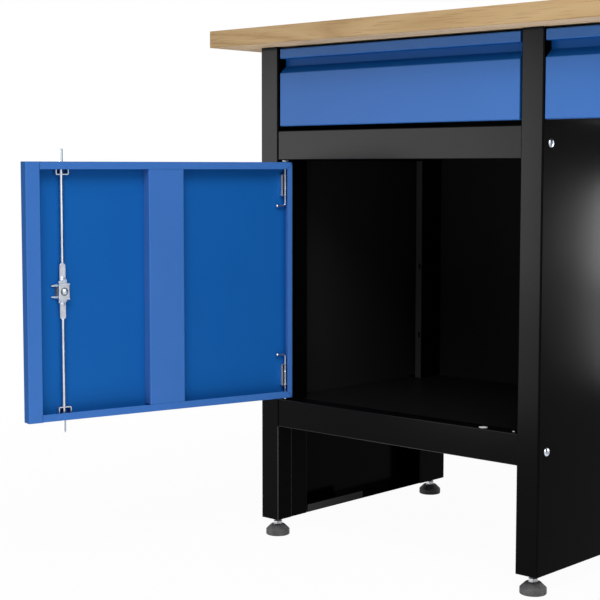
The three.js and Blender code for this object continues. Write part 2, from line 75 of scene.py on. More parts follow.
mirrorAcross = Matrix.Diagonal((-1, 1, 1, 1))
benchPlace = Matrix.Translation((benchMiddle, postFront, 0))
pedestalPlace = {
    "left": Matrix.Translation((outerFace, postFront, 0)),
    "right": Matrix.Translation((2 * benchMiddle - outerFace, postFront, 0)) @ mirrorAcross,
}
innerPanelTurn = Matrix.Translation((pedestalWidth, 0, 0)) @ mirrorAcross


def panelPlace(side, row):
    return pedestalPlace[side] @ (innerPanelTurn if row == "Inner" else Matrix())


# Mesh tools
sharpFrom = math.radians(32)
bendRoom = 0.49   # the share of a sheet's shorter leg that one bend may take up
through = 2   # how far a cutter reaches past the metal
squarely = 0.9   # a face looks along an axis when its normal has this much of it

alongAxis = {
    "up": lambda a, b, level: Vector((a, b, level)),
    "across": lambda a, b, level: Vector((level, a, b)),
    "back": lambda a, b, level: Vector((a, level, b)),
}


def anglesTo(sweep, steps):   # evenly spaced from zero to the whole sweep
    return [sweep * k / steps for k in range(steps + 1)]


def rightOf(heading):
    return Vector((heading.y, -heading.x))


def bentPath(points, thickness, insideBend, steps=4):   # both sides of a folded sheet, point for point
    points = [Vector(point) for point in points]
    legs = [after - before for before, after in zip(points, points[1:])]
    headings = [leg.normalized() for leg in legs]
    path = [(points[0], points[0] + rightOf(headings[0]) * thickness)]
    for i in range(1, len(points) - 1):
        before, after = headings[i - 1], headings[i]
        turn = before.cross(after)
        angle = before.angle(after)
        radius = insideBend + (abs(thickness) if turn * thickness < 0 else 0)
        reach = radius * math.tan(angle / 2)
        if reach > bendRoom * min(legs[i - 1].length, legs[i].length):   # a sharp corner instead
            mitre = rightOf(before) + rightOf(after)
            path.append((points[i], points[i] + mitre * (2 * thickness / mitre.length_squared)))
            continue
        way = math.copysign(1, turn)
        start = points[i] - before * reach
        centre = start - rightOf(before) * radius * way
        for swung in anglesTo(way * angle, steps):
            swing = Matrix.Rotation(swung, 2)
            point = centre + swing @ (start - centre)
            path.append((point, point + rightOf(swing @ before) * thickness))
    path.append((points[-1], points[-1] + rightOf(headings[-1]) * thickness))
    return path


def addSheet(bm, points, thickness, span, axis, insideBend=0.8):   # a folded sheet along one axis
    path = bentPath(points, thickness, insideBend)
    low, high = ([[bm.verts.new(alongAxis[axis](*spot, level)) for spot in pair] for pair in path]
                 for level in span)
    for (a, b), (c, d), (e, f), (g, h) in zip(low, low[1:], high, high[1:]):
        for corner in ((a, c, g, e), (b, f, h, d), (a, b, d, c), (e, g, h, f)):
            bm.faces.new(corner)
    for i in (0, -1):
        bm.faces.new((*low[i], *reversed(high[i])))


def addPrism(bm, outline, span, axis):   # a flat outline with thickness
    low, high = ([bm.verts.new(alongAxis[axis](*spot, level)) for spot in outline] for level in span)
    bm.faces.new(low)
    bm.faces.new(high)
    for i in range(len(outline)):
        bm.faces.new((low[i - 1], low[i], high[i], high[i - 1]))


def addBlock(bm, low, high, edge=0.3, steps=1):   # a block with its edges eased
    low, high = Vector(low), Vector(high)
    place = Matrix.Translation((low + high) / 2) @ Matrix.Diagonal((*(high - low), 1))
    made = bmesh.ops.create_cube(bm, size=1, matrix=place)
    edges = list({line for corner in made["verts"] for line in corner.link_edges})
    bmesh.ops.bevel(bm, geom=edges, offset=edge, segments=steps, profile=0.5, affect="EDGES",
                    clamp_overlap=True)


def joinRings(bm, rings, closed=False):   # a ring of one point is the tip of a cone
    pairs = list(zip(rings, rings[1:])) + ([(rings[-1], rings[0])] if closed else [])
    for lower, upper in pairs:
        count = max(len(lower), len(upper))
        for k in range(count):
            ahead = (k + 1) % count
            if len(lower) == 1:
                bm.faces.new((lower[0], upper[ahead], upper[k]))
            elif len(upper) == 1:
                bm.faces.new((lower[k], lower[ahead], upper[0]))
            else:
                bm.faces.new((lower[k], lower[ahead], upper[ahead], upper[k]))


def addTurned(bm, profile, centre, axis="up", count=32, closed=False):   # (radius, level) pairs
    rings = []
    for radius, level in profile:
        turns = anglesTo(2 * math.pi, count)[:-1] if radius > 0 else [0]
        rings.append([bm.verts.new(Vector(centre) + alongAxis[axis](
            radius * math.cos(turn), radius * math.sin(turn), level)) for turn in turns])
    joinRings(bm, rings, closed)


def addTube(bm, points, radius, count, dome=0.6):   # round wire or bar through a list of points
    points = [Vector(point) for point in points]
    headings = [(ahead - behind).normalized() for behind, ahead in
                zip([points[0]] + points[:-1], points[1:] + [points[-1]])]
    side = headings[0].orthogonal().normalized()
    rings = []
    for i, (point, heading) in enumerate(zip(points, headings)):
        side = (side - heading * side.dot(heading)).normalized()
        across = heading.cross(side)
        spans = [(point, radius)]
        if i == 0:
            spans = [(point, radius * (1 - dome)), (point + heading * radius * dome, radius)]
        elif i == len(points) - 1:
            spans = [(point - heading * radius * dome, radius), (point, radius * (1 - dome))]
        for middle, reach in spans:
            rings.append([bm.verts.new(middle + reach * (side * math.cos(turn) + across * math.sin(turn)))
                          for turn in anglesTo(2 * math.pi, count)[:-1]])
    joinRings(bm, rings)
    bm.faces.new(rings[0])
    bm.faces.new(rings[-1])


def addObject(name, data):
    thing = bpy.data.objects.new(name, data)
    scene.collection.objects.link(thing)
    return thing


def addInto(bm, other, place=Matrix()):   # one more shell for a piece
    other.transform(place)
    if place.determinant() < 0:
        bmesh.ops.reverse_faces(other, faces=other.faces)
    carrier = bpy.data.meshes.new("carrier")
    other.to_mesh(carrier)
    other.free()
    bm.from_mesh(carrier)
    bpy.data.meshes.remove(carrier)


def cutAway(bm, cutter):
    holders = []
    for shape in (bm, cutter):
        bmesh.ops.recalc_face_normals(shape, faces=shape.faces)
        holders.append(addObject("cutHolder", bpy.data.meshes.new("cutHolder")))
        shape.to_mesh(holders[-1].data)
    cut = holders[0].modifiers.new("cut", "BOOLEAN")
    cut.operation, cut.solver, cut.object = "DIFFERENCE", "EXACT", holders[1]
    bpy.context.view_layer.update()
    evaluated = holders[0].evaluated_get(bpy.context.evaluated_depsgraph_get())
    result = bpy.data.meshes.new_from_object(evaluated)
    bm.clear()
    bm.from_mesh(result)
    cutter.free()
    for spent in [result] + [holder.data for holder in holders]:   # the holders go with their meshes
        bpy.data.meshes.remove(spent)


def cutHole(bm, spot, radius, span, axis="up", count=24):
    (low, high), centre = span, alongAxis[axis](*spot, 0)
    cutter = bmesh.new()
    addTurned(cutter, ((0, low), (radius, low), (radius, high), (0, high)), centre, axis, count)
    cutAway(bm, cutter)


def cutBlock(bm, low, high, edge=0.3):
    cutter = bmesh.new()
    addBlock(cutter, low, high, edge)
    cutAway(bm, cutter)


def paintWhere(bm, slotNumber, test):   # faces that pass the test take another of the piece's finishes
    bmesh.ops.recalc_face_normals(bm, faces=bm.faces)
    for face in bm.faces:
        if test(face.calc_center_median(), face.normal):
            face.material_index = slotNumber


def meets(value, plane):   # close enough to lie in it
    return abs(value - plane) < 0.1


def onFold(share):   # a face on a rounded fold looks partly along an axis
    return 0.25 < share < 0.97


def splitAt(bm, levels):   # rows of edges at these heights
    for level in levels:
        bmesh.ops.bisect_plane(bm, geom=bm.verts[:] + bm.edges[:] + bm.faces[:], dist=0.001,
                               plane_co=(0, 0, level), plane_no=(0, 0, 1))


def makePiece(name, bm, body, finishNames, place=Matrix(), replaced=()):
    bm.transform(Matrix.Scale(0.001, 4) @ place)
    bmesh.ops.recalc_face_normals(bm, faces=bm.faces)
    mesh = bpy.data.meshes.new(name)
    bm.to_mesh(mesh)
    bm.free()
    mesh.shade_smooth()
    mesh.set_sharp_from_angle(angle=sharpFrom)
    for finishName in finishNames:
        mesh.materials.append(finish[finishName])
    piece = addObject(name, mesh)
    weighted = piece.modifiers.new("flatNormals", "WEIGHTED_NORMAL")
    weighted.keep_sharp = True
    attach(piece, body)
    if replaced:
        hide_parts(*replaced)
    return piece


def dressNode(node, bm, body, finishNames, place):   # a piece named after the solid it stands for
    first, *others = node.split("_")
    name = first + "".join(word.title() for word in others)
    return makePiece(name, bm, body, finishNames, place, [node])


# Finishes
def feed(tree, socket, value):   # a fixed value, or a link from another node
    if isinstance(value, (int, float, tuple)):
        socket.default_value = value
    else:
        tree.links.new(value, socket)


def addNode(tree, kind, **settings):
    node = tree.nodes.new(kind)
    for key, value in settings.items():
        if key in node.inputs:
            feed(tree, node.inputs[key], value)
        else:
            setattr(node, key, value)
    return node


def addRamp(tree, factor, stops):
    ramp = tree.nodes.new("ShaderNodeValToRGB")
    for element, (place, value) in zip(ramp.color_ramp.elements, stops):
        element.position = place
        element.color = (*value, 1) if isinstance(value, tuple) else (value, value, value, 1)
    tree.links.new(factor, ramp.inputs[0])
    return ramp.outputs[0]


def addMath(tree, operation, first, second):
    node = addNode(tree, "ShaderNodeMath", operation=operation)
    feed(tree, node.inputs[0], first)
    feed(tree, node.inputs[1], second)
    return node.outputs[0]


def addColourMix(tree, factor, first, second, blend="MIX"):
    node = addNode(tree, "ShaderNodeMix", data_type="RGBA", blend_type=blend)
    for number, value in ((0, factor), (6, first), (7, second)):   # the sockets for colours
        feed(tree, node.inputs[number], value)
    return node.outputs[2]


def addNoise(tree, spots, scale, detail, stretch=None):
    if stretch:
        spots = addNode(tree, "ShaderNodeMapping", Vector=spots, Scale=stretch).outputs[0]
    return addNode(tree, "ShaderNodeTexNoise", Vector=spots, Scale=scale, Detail=detail).outputs["Fac"]


finishInputs = {"Colour": (0.5, 0.5, 0.5, 1), "Shade": (0.3, 0.3, 0.3, 1), "Roughness": 0.4, "Spread": 0.1}
oakInputs = {**finishInputs, "Middle": (0.4, 0.4, 0.4, 1)}
finishOutputs = {"Colour": "NodeSocketColor", "Roughness": "NodeSocketFloat", "Height": "NodeSocketFloat"}


def finishGroup(name, inputs, paint):   # paint gives the colour, the roughness factor and the height
    tree = bpy.data.node_groups.new(name, "ShaderNodeTree")
    for label, value in inputs.items():
        kind = "NodeSocketColor" if isinstance(value, tuple) else "NodeSocketFloat"
        tree.interface.new_socket(label, in_out="INPUT", socket_type=kind).default_value = value
    for label, kind in finishOutputs.items():
        tree.interface.new_socket(label, in_out="OUTPUT", socket_type=kind)
    given, made = tree.nodes.new("NodeGroupInput"), tree.nodes.new("NodeGroupOutput")
    spots = tree.nodes.new("ShaderNodeTexCoord").outputs["Object"]
    colour, mottle, height = paint(tree, spots, given.outputs)
    swing = addMath(tree, "MULTIPLY", addMath(tree, "SUBTRACT", mottle, 0.5), given.outputs["Spread"])
    feed(tree, made.inputs["Colour"], colour)
    feed(tree, made.inputs["Roughness"], addMath(tree, "ADD", swing, given.outputs["Roughness"]))
    feed(tree, made.inputs["Height"], height)
    return tree


def paintCoat(tree, spots, given):   # baked powder: soft orange peel, faint clouding, a few specks
    cloud = addNoise(tree, spots, 7, 3)
    peel = addNoise(tree, spots, 420, 2)
    speck = addRamp(tree, addNoise(tree, spots, 1500, 1), ((0.30, 0.0), (0.42, 1.0)))
    tone = addMath(tree, "MULTIPLY", addRamp(tree, cloud, ((0.30, 0.55), (0.70, 1.0))), speck)
    cloudShare = addMath(tree, "MULTIPLY", cloud, 0.6)
    mottle = addMath(tree, "ADD", cloudShare, addMath(tree, "MULTIPLY", peel, 0.4))
    return addColourMix(tree, tone, given["Shade"], given["Colour"]), mottle, peel


def paintPlate(tree, spots, given):   # plated steel: drawn lines along Z, spangle and dull patches
    lines = addNoise(tree, spots, 900, 2, (1, 1, 0.03))
    spangle = addNoise(tree, spots, 160, 3)
    average = addMath(tree, "MULTIPLY", addMath(tree, "ADD", lines, spangle), 0.5)
    tone = addRamp(tree, average, ((0.35, 0.0), (0.62, 1.0)))
    return addColourMix(tree, tone, given["Shade"], given["Colour"]), spangle, lines


def paintMoulding(tree, spots, given):   # moulded plastic: fine spark texture and scuffed high spots
    spark = addNoise(tree, spots, 1300, 2)
    scuff = addNoise(tree, spots, 90, 4)
    tone = addRamp(tree, scuff, ((0.35, 0.0), (0.70, 1.0)))
    return addColourMix(tree, tone, given["Shade"], given["Colour"]), scuff, spark


oakFigure = {"staveWidth": 0.086, "shift": 3.0, "bands": 26, "fibre": 0.45}


def paintOak(tree, spots, given):   # full-length staves glued along the bench, each with its own grain
    depth = addNode(tree, "ShaderNodeSeparateXYZ", Vector=spots).outputs["Y"]
    row = addMath(tree, "FLOOR", addMath(tree, "DIVIDE", depth, oakFigure["staveWidth"]), 0)
    pick = addNode(tree, "ShaderNodeTexWhiteNoise", noise_dimensions="1D", W=row)
    shift = addNode(tree, "ShaderNodeVectorMath", operation="SCALE", Vector=pick.outputs["Color"],
                    Scale=oakFigure["shift"])
    moved = addNode(tree, "ShaderNodeVectorMath", operation="ADD", Vector=spots)
    tree.links.new(shift.outputs[0], moved.inputs[1])
    staveSpots = moved.outputs[0]
    flow = addNoise(tree, staveSpots, 5, 1.5, (0.16, 1, 1))
    flow = addMath(tree, "MULTIPLY", flow, oakFigure["bands"])
    rings = addMath(tree, "PINGPONG", flow, 0.5)   # growth rings cut lengthways
    fibres = addNoise(tree, staveSpots, 60, 4, (0.07, 1, 1))
    pores = addNoise(tree, staveSpots, 560, 2, (0.035, 1, 1))
    share = oakFigure["fibre"]
    grain = addMath(tree, "MULTIPLY", rings, 2 - 2 * share)
    grain = addMath(tree, "ADD", grain, addMath(tree, "MULTIPLY", fibres, share))
    toMiddle = addRamp(tree, grain, ((0.12, 0.0), (0.42, 1.0)))
    toPale = addRamp(tree, grain, ((0.42, 0.0), (0.80, 1.0)))
    colour = addColourMix(tree, toMiddle, given["Shade"], given["Middle"])
    colour = addColourMix(tree, toPale, colour, given["Colour"])
    poreMask = addRamp(tree, pores, ((0.30, 0.0), (0.44, 1.0)))
    poreTone = addRamp(tree, poreMask, ((0.0, (0.78, 0.74, 0.70)), (1.0, 1.0)))
    staveTone = addRamp(tree, pick.outputs["Value"], ((0.0, (0.90, 0.89, 0.87)), (1.0, (1.05, 1.04, 1.02))))
    colour = addColourMix(tree, 1, colour, poreTone, "MULTIPLY")
    colour = addColourMix(tree, 1, colour, staveTone, "MULTIPLY")
    return colour, grain, addMath(tree, "ADD", poreMask, fibres)


groups = {
    "powderCoat": finishGroup("powderCoat", finishInputs, paintCoat),
    "platedSteel": finishGroup("platedSteel", finishInputs, paintPlate),
    "mouldedPlastic": finishGroup("mouldedPlastic", finishInputs, paintMoulding),
    "oakStaves": finishGroup("oakStaves", oakInputs, paintOak),
}
bumpDepth = 0.0004

finishColumns = ("group", "colour", "shade", "roughness", "spread", "bump", "specular", "middle")
finishValues = {
    "blackCoat": ("powderCoat", (0.0014, 0.0014, 0.0016), (0.0009, 0.0009, 0.0010), 0.20, 0.06, 0.04, 0.045),
    "blackSide": ("powderCoat", (0.0014, 0.0014, 0.0016), (0.0009, 0.0009, 0.0010), 0.16, 0.06, 0.04, 0.014),
    # a lighter, rougher copy of the black coat for the faces inside the cabinet: painted light
    "blackPaintedLight": ("powderCoat", (0.014, 0.014, 0.0143), (0.0115, 0.0115, 0.0118), 0.42, 0.10, 0.06, 0.045),
    # a lighter copy of the black coat for the cabinet floor's top: painted light
    "blackFloorPaintedLight": ("powderCoat", (0.0070, 0.0070, 0.0072), (0.0058, 0.0058, 0.0060), 0.30, 0.10, 0.06, 0.045),
    # grey for folds at the legs, the rear post's front flange, the foot flange's lip and the sill's bottom
    # fold: painted highlights and a painted reflection
    "paintedHighlight": ("powderCoat", (0.044, 0.044, 0.045), (0.036, 0.036, 0.037), 0.42, 0.10, 0.06, 0.045),
    # the blue paint with a painted sheen: its colour is lightened and greyed to stand in for sheen
    "blueWithPaintedSheen": ("powderCoat", (0.045, 0.148, 0.44), (0.036, 0.132, 0.405), 0.40, 0.08, 0.05, 0.06),
    # the darker blue without that painted sheen: painted shade in the drawers' grip grooves and on the doors'
    # inner skin and free edge
    "bluePaintedShade": ("powderCoat", (0.0062, 0.097, 0.355), (0.0047, 0.085, 0.325), 0.48, 0.08, 0.05, 0.05),
    # bluish zinc: partly the tint of blue-chromate plating, partly a painted reflection of the doors' blue
    # paint
    "zincPlate": ("platedSteel", (0.74, 0.79, 0.86), (0.54, 0.59, 0.66), 0.30, 0.12, 0.03, 0.5),
    "dullZinc": ("platedSteel", (0.73, 0.76, 0.80), (0.60, 0.63, 0.67), 0.40, 0.18, 0.07, 0.5),
    "runnerSteel": ("platedSteel", (0.46, 0.47, 0.48), (0.28, 0.29, 0.30), 0.42, 0.2, 0.08, 0.5),
    "footPlastic": ("mouldedPlastic", (0.135, 0.135, 0.137), (0.080, 0.080, 0.082), 0.55, 0.15, 0.12, 0.2),
    "whiteNylon": ("mouldedPlastic", (0.80, 0.80, 0.78), (0.66, 0.66, 0.63), 0.45, 0.1, 0.06, 0.3),
    "oakOiled": ("oakStaves", (0.52, 0.362, 0.190), (0.365, 0.230, 0.102), 0.50, 0.16, 0.15, 0.10,
                 (0.47, 0.314, 0.152)),
    # a much lighter copy of the oak for the worktop's underside: painted light from below
    "oakPaintedLightBelow": ("oakStaves", (0.88, 0.66, 0.43), (0.72, 0.51, 0.31), 0.70, 0.16, 0.15, 0.06,
                (0.83, 0.61, 0.39)),
}


def newMaterial(name):
    material = bpy.data.materials.new(name)
    material.use_nodes = True
    tree = material.node_tree
    return material, tree, tree.nodes["Principled BSDF"]


def makeFinish(name, row):
    values = dict(zip(finishColumns, row))
    material, tree, shader = newMaterial(name)
    group = addNode(tree, "ShaderNodeGroup", node_tree=groups[values["group"]])
    for socket in group.inputs:
        value = values[socket.name.lower()]
        socket.default_value = (*value, 1) if isinstance(value, tuple) else value
    shader.inputs["Metallic"].default_value = 1.0 if values["group"] == "platedSteel" else 0.0
    shader.inputs["Specular IOR Level"].default_value = values["specular"]
    tree.links.new(group.outputs["Colour"], shader.inputs["Base Color"])
    tree.links.new(group.outputs["Roughness"], shader.inputs["Roughness"])
    bump = addNode(tree, "ShaderNodeBump", Strength=values["bump"], Distance=bumpDepth,
                   Height=group.outputs["Height"])
    tree.links.new(bump.outputs[0], shader.inputs["Normal"])
    return material


finish = {name: makeFinish(name, row) for name, row in finishValues.items()}
print("finishes made:", len(finish))


# Worktop, oiled oak above, and below a lighter copy of the oak: painted light from below
workTopSize = {"edge": 1.6, "edgeSteps": 3}


def makeWorkTop():
    bm = bmesh.new()
    addBlock(bm, topLow, topHigh, workTopSize["edge"], workTopSize["edgeSteps"])
    # the underside takes the lighter oak: painted light
    paintWhere(bm, 1, lambda spot, normal: normal.z < -squarely)
    makePiece("workTop", bm, "frame", ["oakOiled", "oakPaintedLightBelow"], replaced=["worktop"])


# Side panels: a web folded into a box post at the front and the rear
sidePanelSize = {
    "sheet": 1.2, "span": (30, 822), "bend": 1.2, "cabinet": (231, 636), "leg": 190,
    "plan": [(22.8, 75), (36.8, 75), (36.8, 34.8), (38, 33.2), (38, 0), (0, 0), (0, 467), (38, 467),
             (38, 392), (24, 392)],
    "web": (75, 392), "foldFrom": 36, "lap": 0.2,
    "bottomFlange": (36.4, 30.1, 43.5), "flangeSpan": (76.4, 225, 391.8),
    "slots": [307, 435], "slotHeight": 10, "slotSpan": (30.8, 34.8), "slotDepth": (390, 395), "slotEdge": 0.6,
    "footColumn": 19, "footRows": (20, 447), "studHole": 4.5,
    "plateWidth": (0.6, 37.4), "plateDepths": ((0.6, 33.4), (393.4, 466.4)), "plateRise": (30.3, 33),
}


def makeSidePanel(side, row):
    size = sidePanelSize
    sheet, lap, top = size["sheet"], size["lap"], size["span"][1]
    webFront, webBack = size["web"]
    bm = bmesh.new()
    addSheet(bm, size["plan"], sheet, size["span"], "up", size["bend"])
    slots = bmesh.new()
    (x0, x1), (y0, y1) = size["slotSpan"], size["slotDepth"]
    for low in size["slots"]:
        addBlock(slots, (x0, y0, low), (x1, y1, low + size["slotHeight"]), size["slotEdge"], 2)
    cutAway(bm, slots)
    splitAt(bm, (size["leg"], *size["cabinet"]))
    floor, header = size["cabinet"]   # between them the web's inside face takes the lighter black (painted light) and the rear post's front flange the grey (a painted highlight)
    fold = size["foldFrom"]
    paintWhere(bm, 3, lambda spot, normal: abs(normal.x) > squarely)
    paintWhere(bm, 1, lambda spot, normal: normal.x > squarely and meets(spot.x, sheet)
               and floor < spot.z < header and webFront < spot.y < webBack)
    paintWhere(bm, 2, lambda spot, normal: normal.y < -squarely and meets(spot.y, webBack)
               and floor < spot.z < header)
    # the post's front fold below the leg takes the grey: a painted highlight
    paintWhere(bm, 2, lambda spot, normal: onFold(normal.x) and spot.z < size["leg"]
               and spot.x > fold and spot.y < fold)
    flangeFront, lipBack, flangeBack = size["flangeSpan"]
    reach, low, lipTop = size["bottomFlange"]
    addBlock(bm, (sheet / 2, flangeFront, low), (reach, flangeBack, low + sheet))
    addBlock(bm, (reach - sheet, flangeFront, low), (reach, lipBack, lipTop))   # its lip at the front
    # the lip's inner face takes the grey: a painted reflection of the floor
    paintWhere(bm, 2, lambda spot, normal: normal.x > squarely and meets(spot.x, reach)
               and low + 2 * sheet < spot.z < lipTop)
    addBlock(bm, (-topFlangeReach, webFront + lap, top - sheet), (sheet / 2, webBack - lap, top))
    (x0, x1), (z0, z1) = size["plateWidth"], size["plateRise"]
    for (y0, y1), y in zip(size["plateDepths"], size["footRows"]):   # the feet screw into these plates
        plate = bmesh.new()
        addBlock(plate, (x0, y0, z0), (x1, y1, z1))
        cutHole(plate, (size["footColumn"], y), size["studHole"], (z0 - through, z1 + through))
        addInto(bm, plate)
    finishNames = ["blackCoat", "blackPaintedLight", "paintedHighlight", "blackSide"]
    makePiece(f"{side}{row}Panel", bm, "frame", finishNames, panelPlace(side, row),
              [f"{side}_{row.lower()}_side_panel"])


# Back panel, cabinet floor with its sill, header rail
cabinetSize = {
    "sheet": 1.2, "span": (38.3, 514.7), "pinHole": (47.5, 8), "rodHole": (449.5, 9),
    "pinHoleRadius": 2.35, "rodHoleRadius": 3.35, "sillHoles": (234, 240), "headerHoles": (634, 640),
    "back": [(38.3, 462), (38.3, 448), (514.7, 448), (514.7, 462)], "backSpan": (190, 821.7),
    "floor": [(14, 190), (2, 190), (2, 238), (30, 238), (30, 231), (447.7, 231)],
    "wings": ((1.5, 38.6), (514.4, 551.5)), "wingDepth": (75.3, 391.7), "sillFold": (5, 193),
    "header": [(24.5, 642), (24.5, 636), (2, 636), (2, 685), (32, 685)],
}


def boltHoles(bm, span):   # where the hinge pin and the lock rod drop in
    for name in ("pinHole", "rodHole"):
        cutHole(bm, cabinetSize[name], cabinetSize[name + "Radius"], span)


def makeCabinet(side):
    size = cabinetSize
    sheet, place = size["sheet"], pedestalPlace[side]
    back = bmesh.new()
    addSheet(back, size["back"], -sheet, size["backSpan"], "up")
    face = size["back"][1][1]
    # the back panel's front face takes the lighter black: painted light inside the cabinet
    paintWhere(back, 1, lambda spot, normal: normal.y < -squarely and meets(spot.y, face))
    dressNode(f"{side}_back_panel", back, "frame", ["blackCoat", "blackPaintedLight"], place)

    floor = bmesh.new()
    addSheet(floor, size["floor"], sheet, size["span"], "across")
    boltHoles(floor, size["sillHoles"])
    level = size["floor"][-1][1]
    y0, y1 = size["wingDepth"]
    for x0, x1 in size["wings"]:   # the floor runs on into both posts
        addBlock(floor, (x0, y0, level - sheet), (x1, y1, level), 0.1)
    deep, high = size["sillFold"]
    # the floor's top takes a lighter black (painted light) and the sill's bottom fold the grey (a painted
    # highlight)
    paintWhere(floor, 1, lambda spot, normal: normal.z > squarely and meets(spot.z, level))
    paintWhere(floor, 2, lambda spot, normal: onFold(-normal.z) and spot.z < high and spot.y < deep)
    finishNames = ["blackCoat", "blackFloorPaintedLight", "paintedHighlight"]
    dressNode(f"{side}_cabinet_floor", floor, "frame", finishNames, place)

    header = bmesh.new()
    addSheet(header, size["header"], sheet, size["span"], "across")
    boltHoles(header, size["headerHoles"])
    dressNode(f"{side}_header_rail", header, "frame", ["blackCoat"], place)


tieBeamSize = {
    "section": [(467, 712), (450, 712), (450, 792), (467, 792)], "span": (-235.7, 235.7), "sheet": 1.2,
}


def makeTieBeam():
    bm = bmesh.new()
    addSheet(bm, tieBeamSize["section"], tieBeamSize["sheet"], tieBeamSize["span"], "across")
    dressNode("rear_tie_beam", bm, "frame", ["blackCoat"], benchPlace)


# Pan-head screws with a cross recess through the side panels
screwSize = {
    "radius": 6.4, "rise": 3.4, "rim": 0.5, "sunk": 0.6, "crown": 0.7,
    "recessLength": 6.2, "recessWidth": 1.5, "recessDepth": 1.7, "recessTurn": 0.35,
    "rows": {20: (213, 658.5), 455: (213, 500, 760)},
}


def addScrew(bm, y, z):   # its head stands out of the panel towards -X
    size = screwSize
    radius, rise, rim, sunk = size["radius"], size["rise"], size["rim"], size["sunk"]
    head = [(0, sunk), (radius * 0.98, sunk), (radius, -rim)]
    head += [(radius * math.cos(turn) ** size["crown"], -rim - (rise - rim) * math.sin(turn))
             for turn in anglesTo(math.pi / 2, 6)[1:-1]]
    screw = bmesh.new()
    addTurned(screw, head + [(0, -rise)], (0, 0, 0), "across", 28)
    long, wide = size["recessLength"] / 2, size["recessWidth"] / 2
    for turn in (size["recessTurn"], size["recessTurn"] + math.pi / 2):
        slot = bmesh.new()
        addBlock(slot, (-rise - 1, -long, -wide), (size["recessDepth"] - rise, long, wide), 0.2)
        slot.transform(Matrix.Rotation(turn, 4, "X"))
        cutAway(screw, slot)
    addInto(bm, screw, Matrix.Translation((0, y, z)))


def makeScrews(side, row):
    bm = bmesh.new()
    for y, levels in screwSize["rows"].items():
        for z in levels:
            addScrew(bm, y, z)
    makePiece(f"{side}{row}Screws", bm, "frame", ["zincPlate"], panelPlace(side, row))


# Nylon bushes round the upper hinge pin and the lower lock rod, and a buffer on the sill
bushSize = {
    "pinHole": (5.2, 636, -2.5), "rodHole": (6.5, 238, 0.7),   # radius, seat and rise of each bush
    "bore": 0.15, "buffer": (1.9, 237.8, 238.9), "bufferSpot": (503, 10),
}


def addBush(bm, hole):
    outer, seat, rise = bushSize[hole]
    inner, neck = cabinetSize[hole + "Radius"] - bushSize["bore"], outer * 0.8
    ring = [(inner, seat - rise * 0.4), (neck, seat - rise * 0.4), (neck, seat), (outer, seat),
            (outer, seat + rise * 0.75), (outer - 0.5, seat + rise), (inner, seat + rise)]
    addTurned(bm, ring, (*cabinetSize[hole], 0), closed=True)   # the upper one hangs under the header


def makeBushes(side):
    bm = bmesh.new()
    addBush(bm, "pinHole")
    addBush(bm, "rodHole")
    radius, low, high = bushSize["buffer"]
    addTurned(bm, [(0, low), (radius, low), (radius, high - 0.4), (radius * 0.7, high), (0, high)],
              (*bushSize["bufferSpot"], 0))
    makePiece(f"{side}NylonBushes", bm, "frame", ["whiteNylon"], pedestalPlace[side])


# Levelling feet
footSize = {
    "pad": [(0, 0), (20, 0), (20, 9.4), (11.5, 17.6), (0, 17.6)], "padEase": 1.6,
    "nutSpan": (17.4, 24.1), "nutAcross": 13, "nutChamfer": 0.9,
    "stud": 4, "studTop": 53, "thread": 1.25, "threadDepth": 0.6,
}


def makeFoot(side, row, column):
    size = footSize
    x = sidePanelSize["footColumn"]
    spot = (x if column == "Outer" else pedestalWidth - x, sidePanelSize["footRows"][row == "Rear"], 0)
    body = f"{side}_{row.lower()}_{column.lower()}_foot"
    pad = bmesh.new()
    addTurned(pad, [outside for outside, _ in bentPath(size["pad"], 0, size["padEase"])], spot, count=48)
    name, place = f"{side}{row}{column}Foot", pedestalPlace[side]
    makePiece(name + "Pad", pad, body, ["footPlastic"], place, [body])

    low, high = size["nutSpan"]
    half, chamfer = size["nutAcross"] / 2, size["nutChamfer"]
    corner = half / math.cos(math.pi / 6)
    stud = bmesh.new()
    addTurned(stud, [(0, low), (half, low), (corner, low + chamfer), (corner, high - chamfer), (half, high),
                     (0, high)], spot, count=6)
    crest, pitch, top = size["stud"], size["thread"], size["studTop"]
    root = crest - size["threadDepth"]
    level = high - 1   # the thread starts inside the nut
    thread = [(0, level)]
    while level < top - 1:
        thread += [(root, level), (crest, level + pitch / 2)]
        level += pitch
    addTurned(stud, thread + [(root - 0.1, top), (0, top)], spot, count=20)
    makePiece(name + "Stud", stud, body, ["runnerSteel"], place)


# Drawers and their runners
drawerSize = {
    "bays": {"left": (-751, -274), "centre": (-236, 236), "right": (274, 751)},
    "gaps": {"left": 4, "centre": 1.5, "right": 4}, "groove": (778, 804), "grooveFrom": 3.2,
    "front": [(17, 692), (2, 692), (2, 778.5), (16, 790.5), (16, 802.5), (2, 802.5), (2, 818.5), (17, 818.5)],
    "sheet": 1, "bend": 1.0, "runnerSpace": 14, "trayFloor": 696, "trayRim": 776, "trayFlange": 9,
    "trayDepth": (17.3, 438), "wallTop": 802.5, "wallEdge": 0.15, "lap": 0.2, "seat": 0.3,
    "runner": [(12.2, 774.5), (0, 774.5), (0, 782.9), (12.2, 782.9)],
    "runnerSheet": 1.2, "runnerDepth": (24, 441),
}


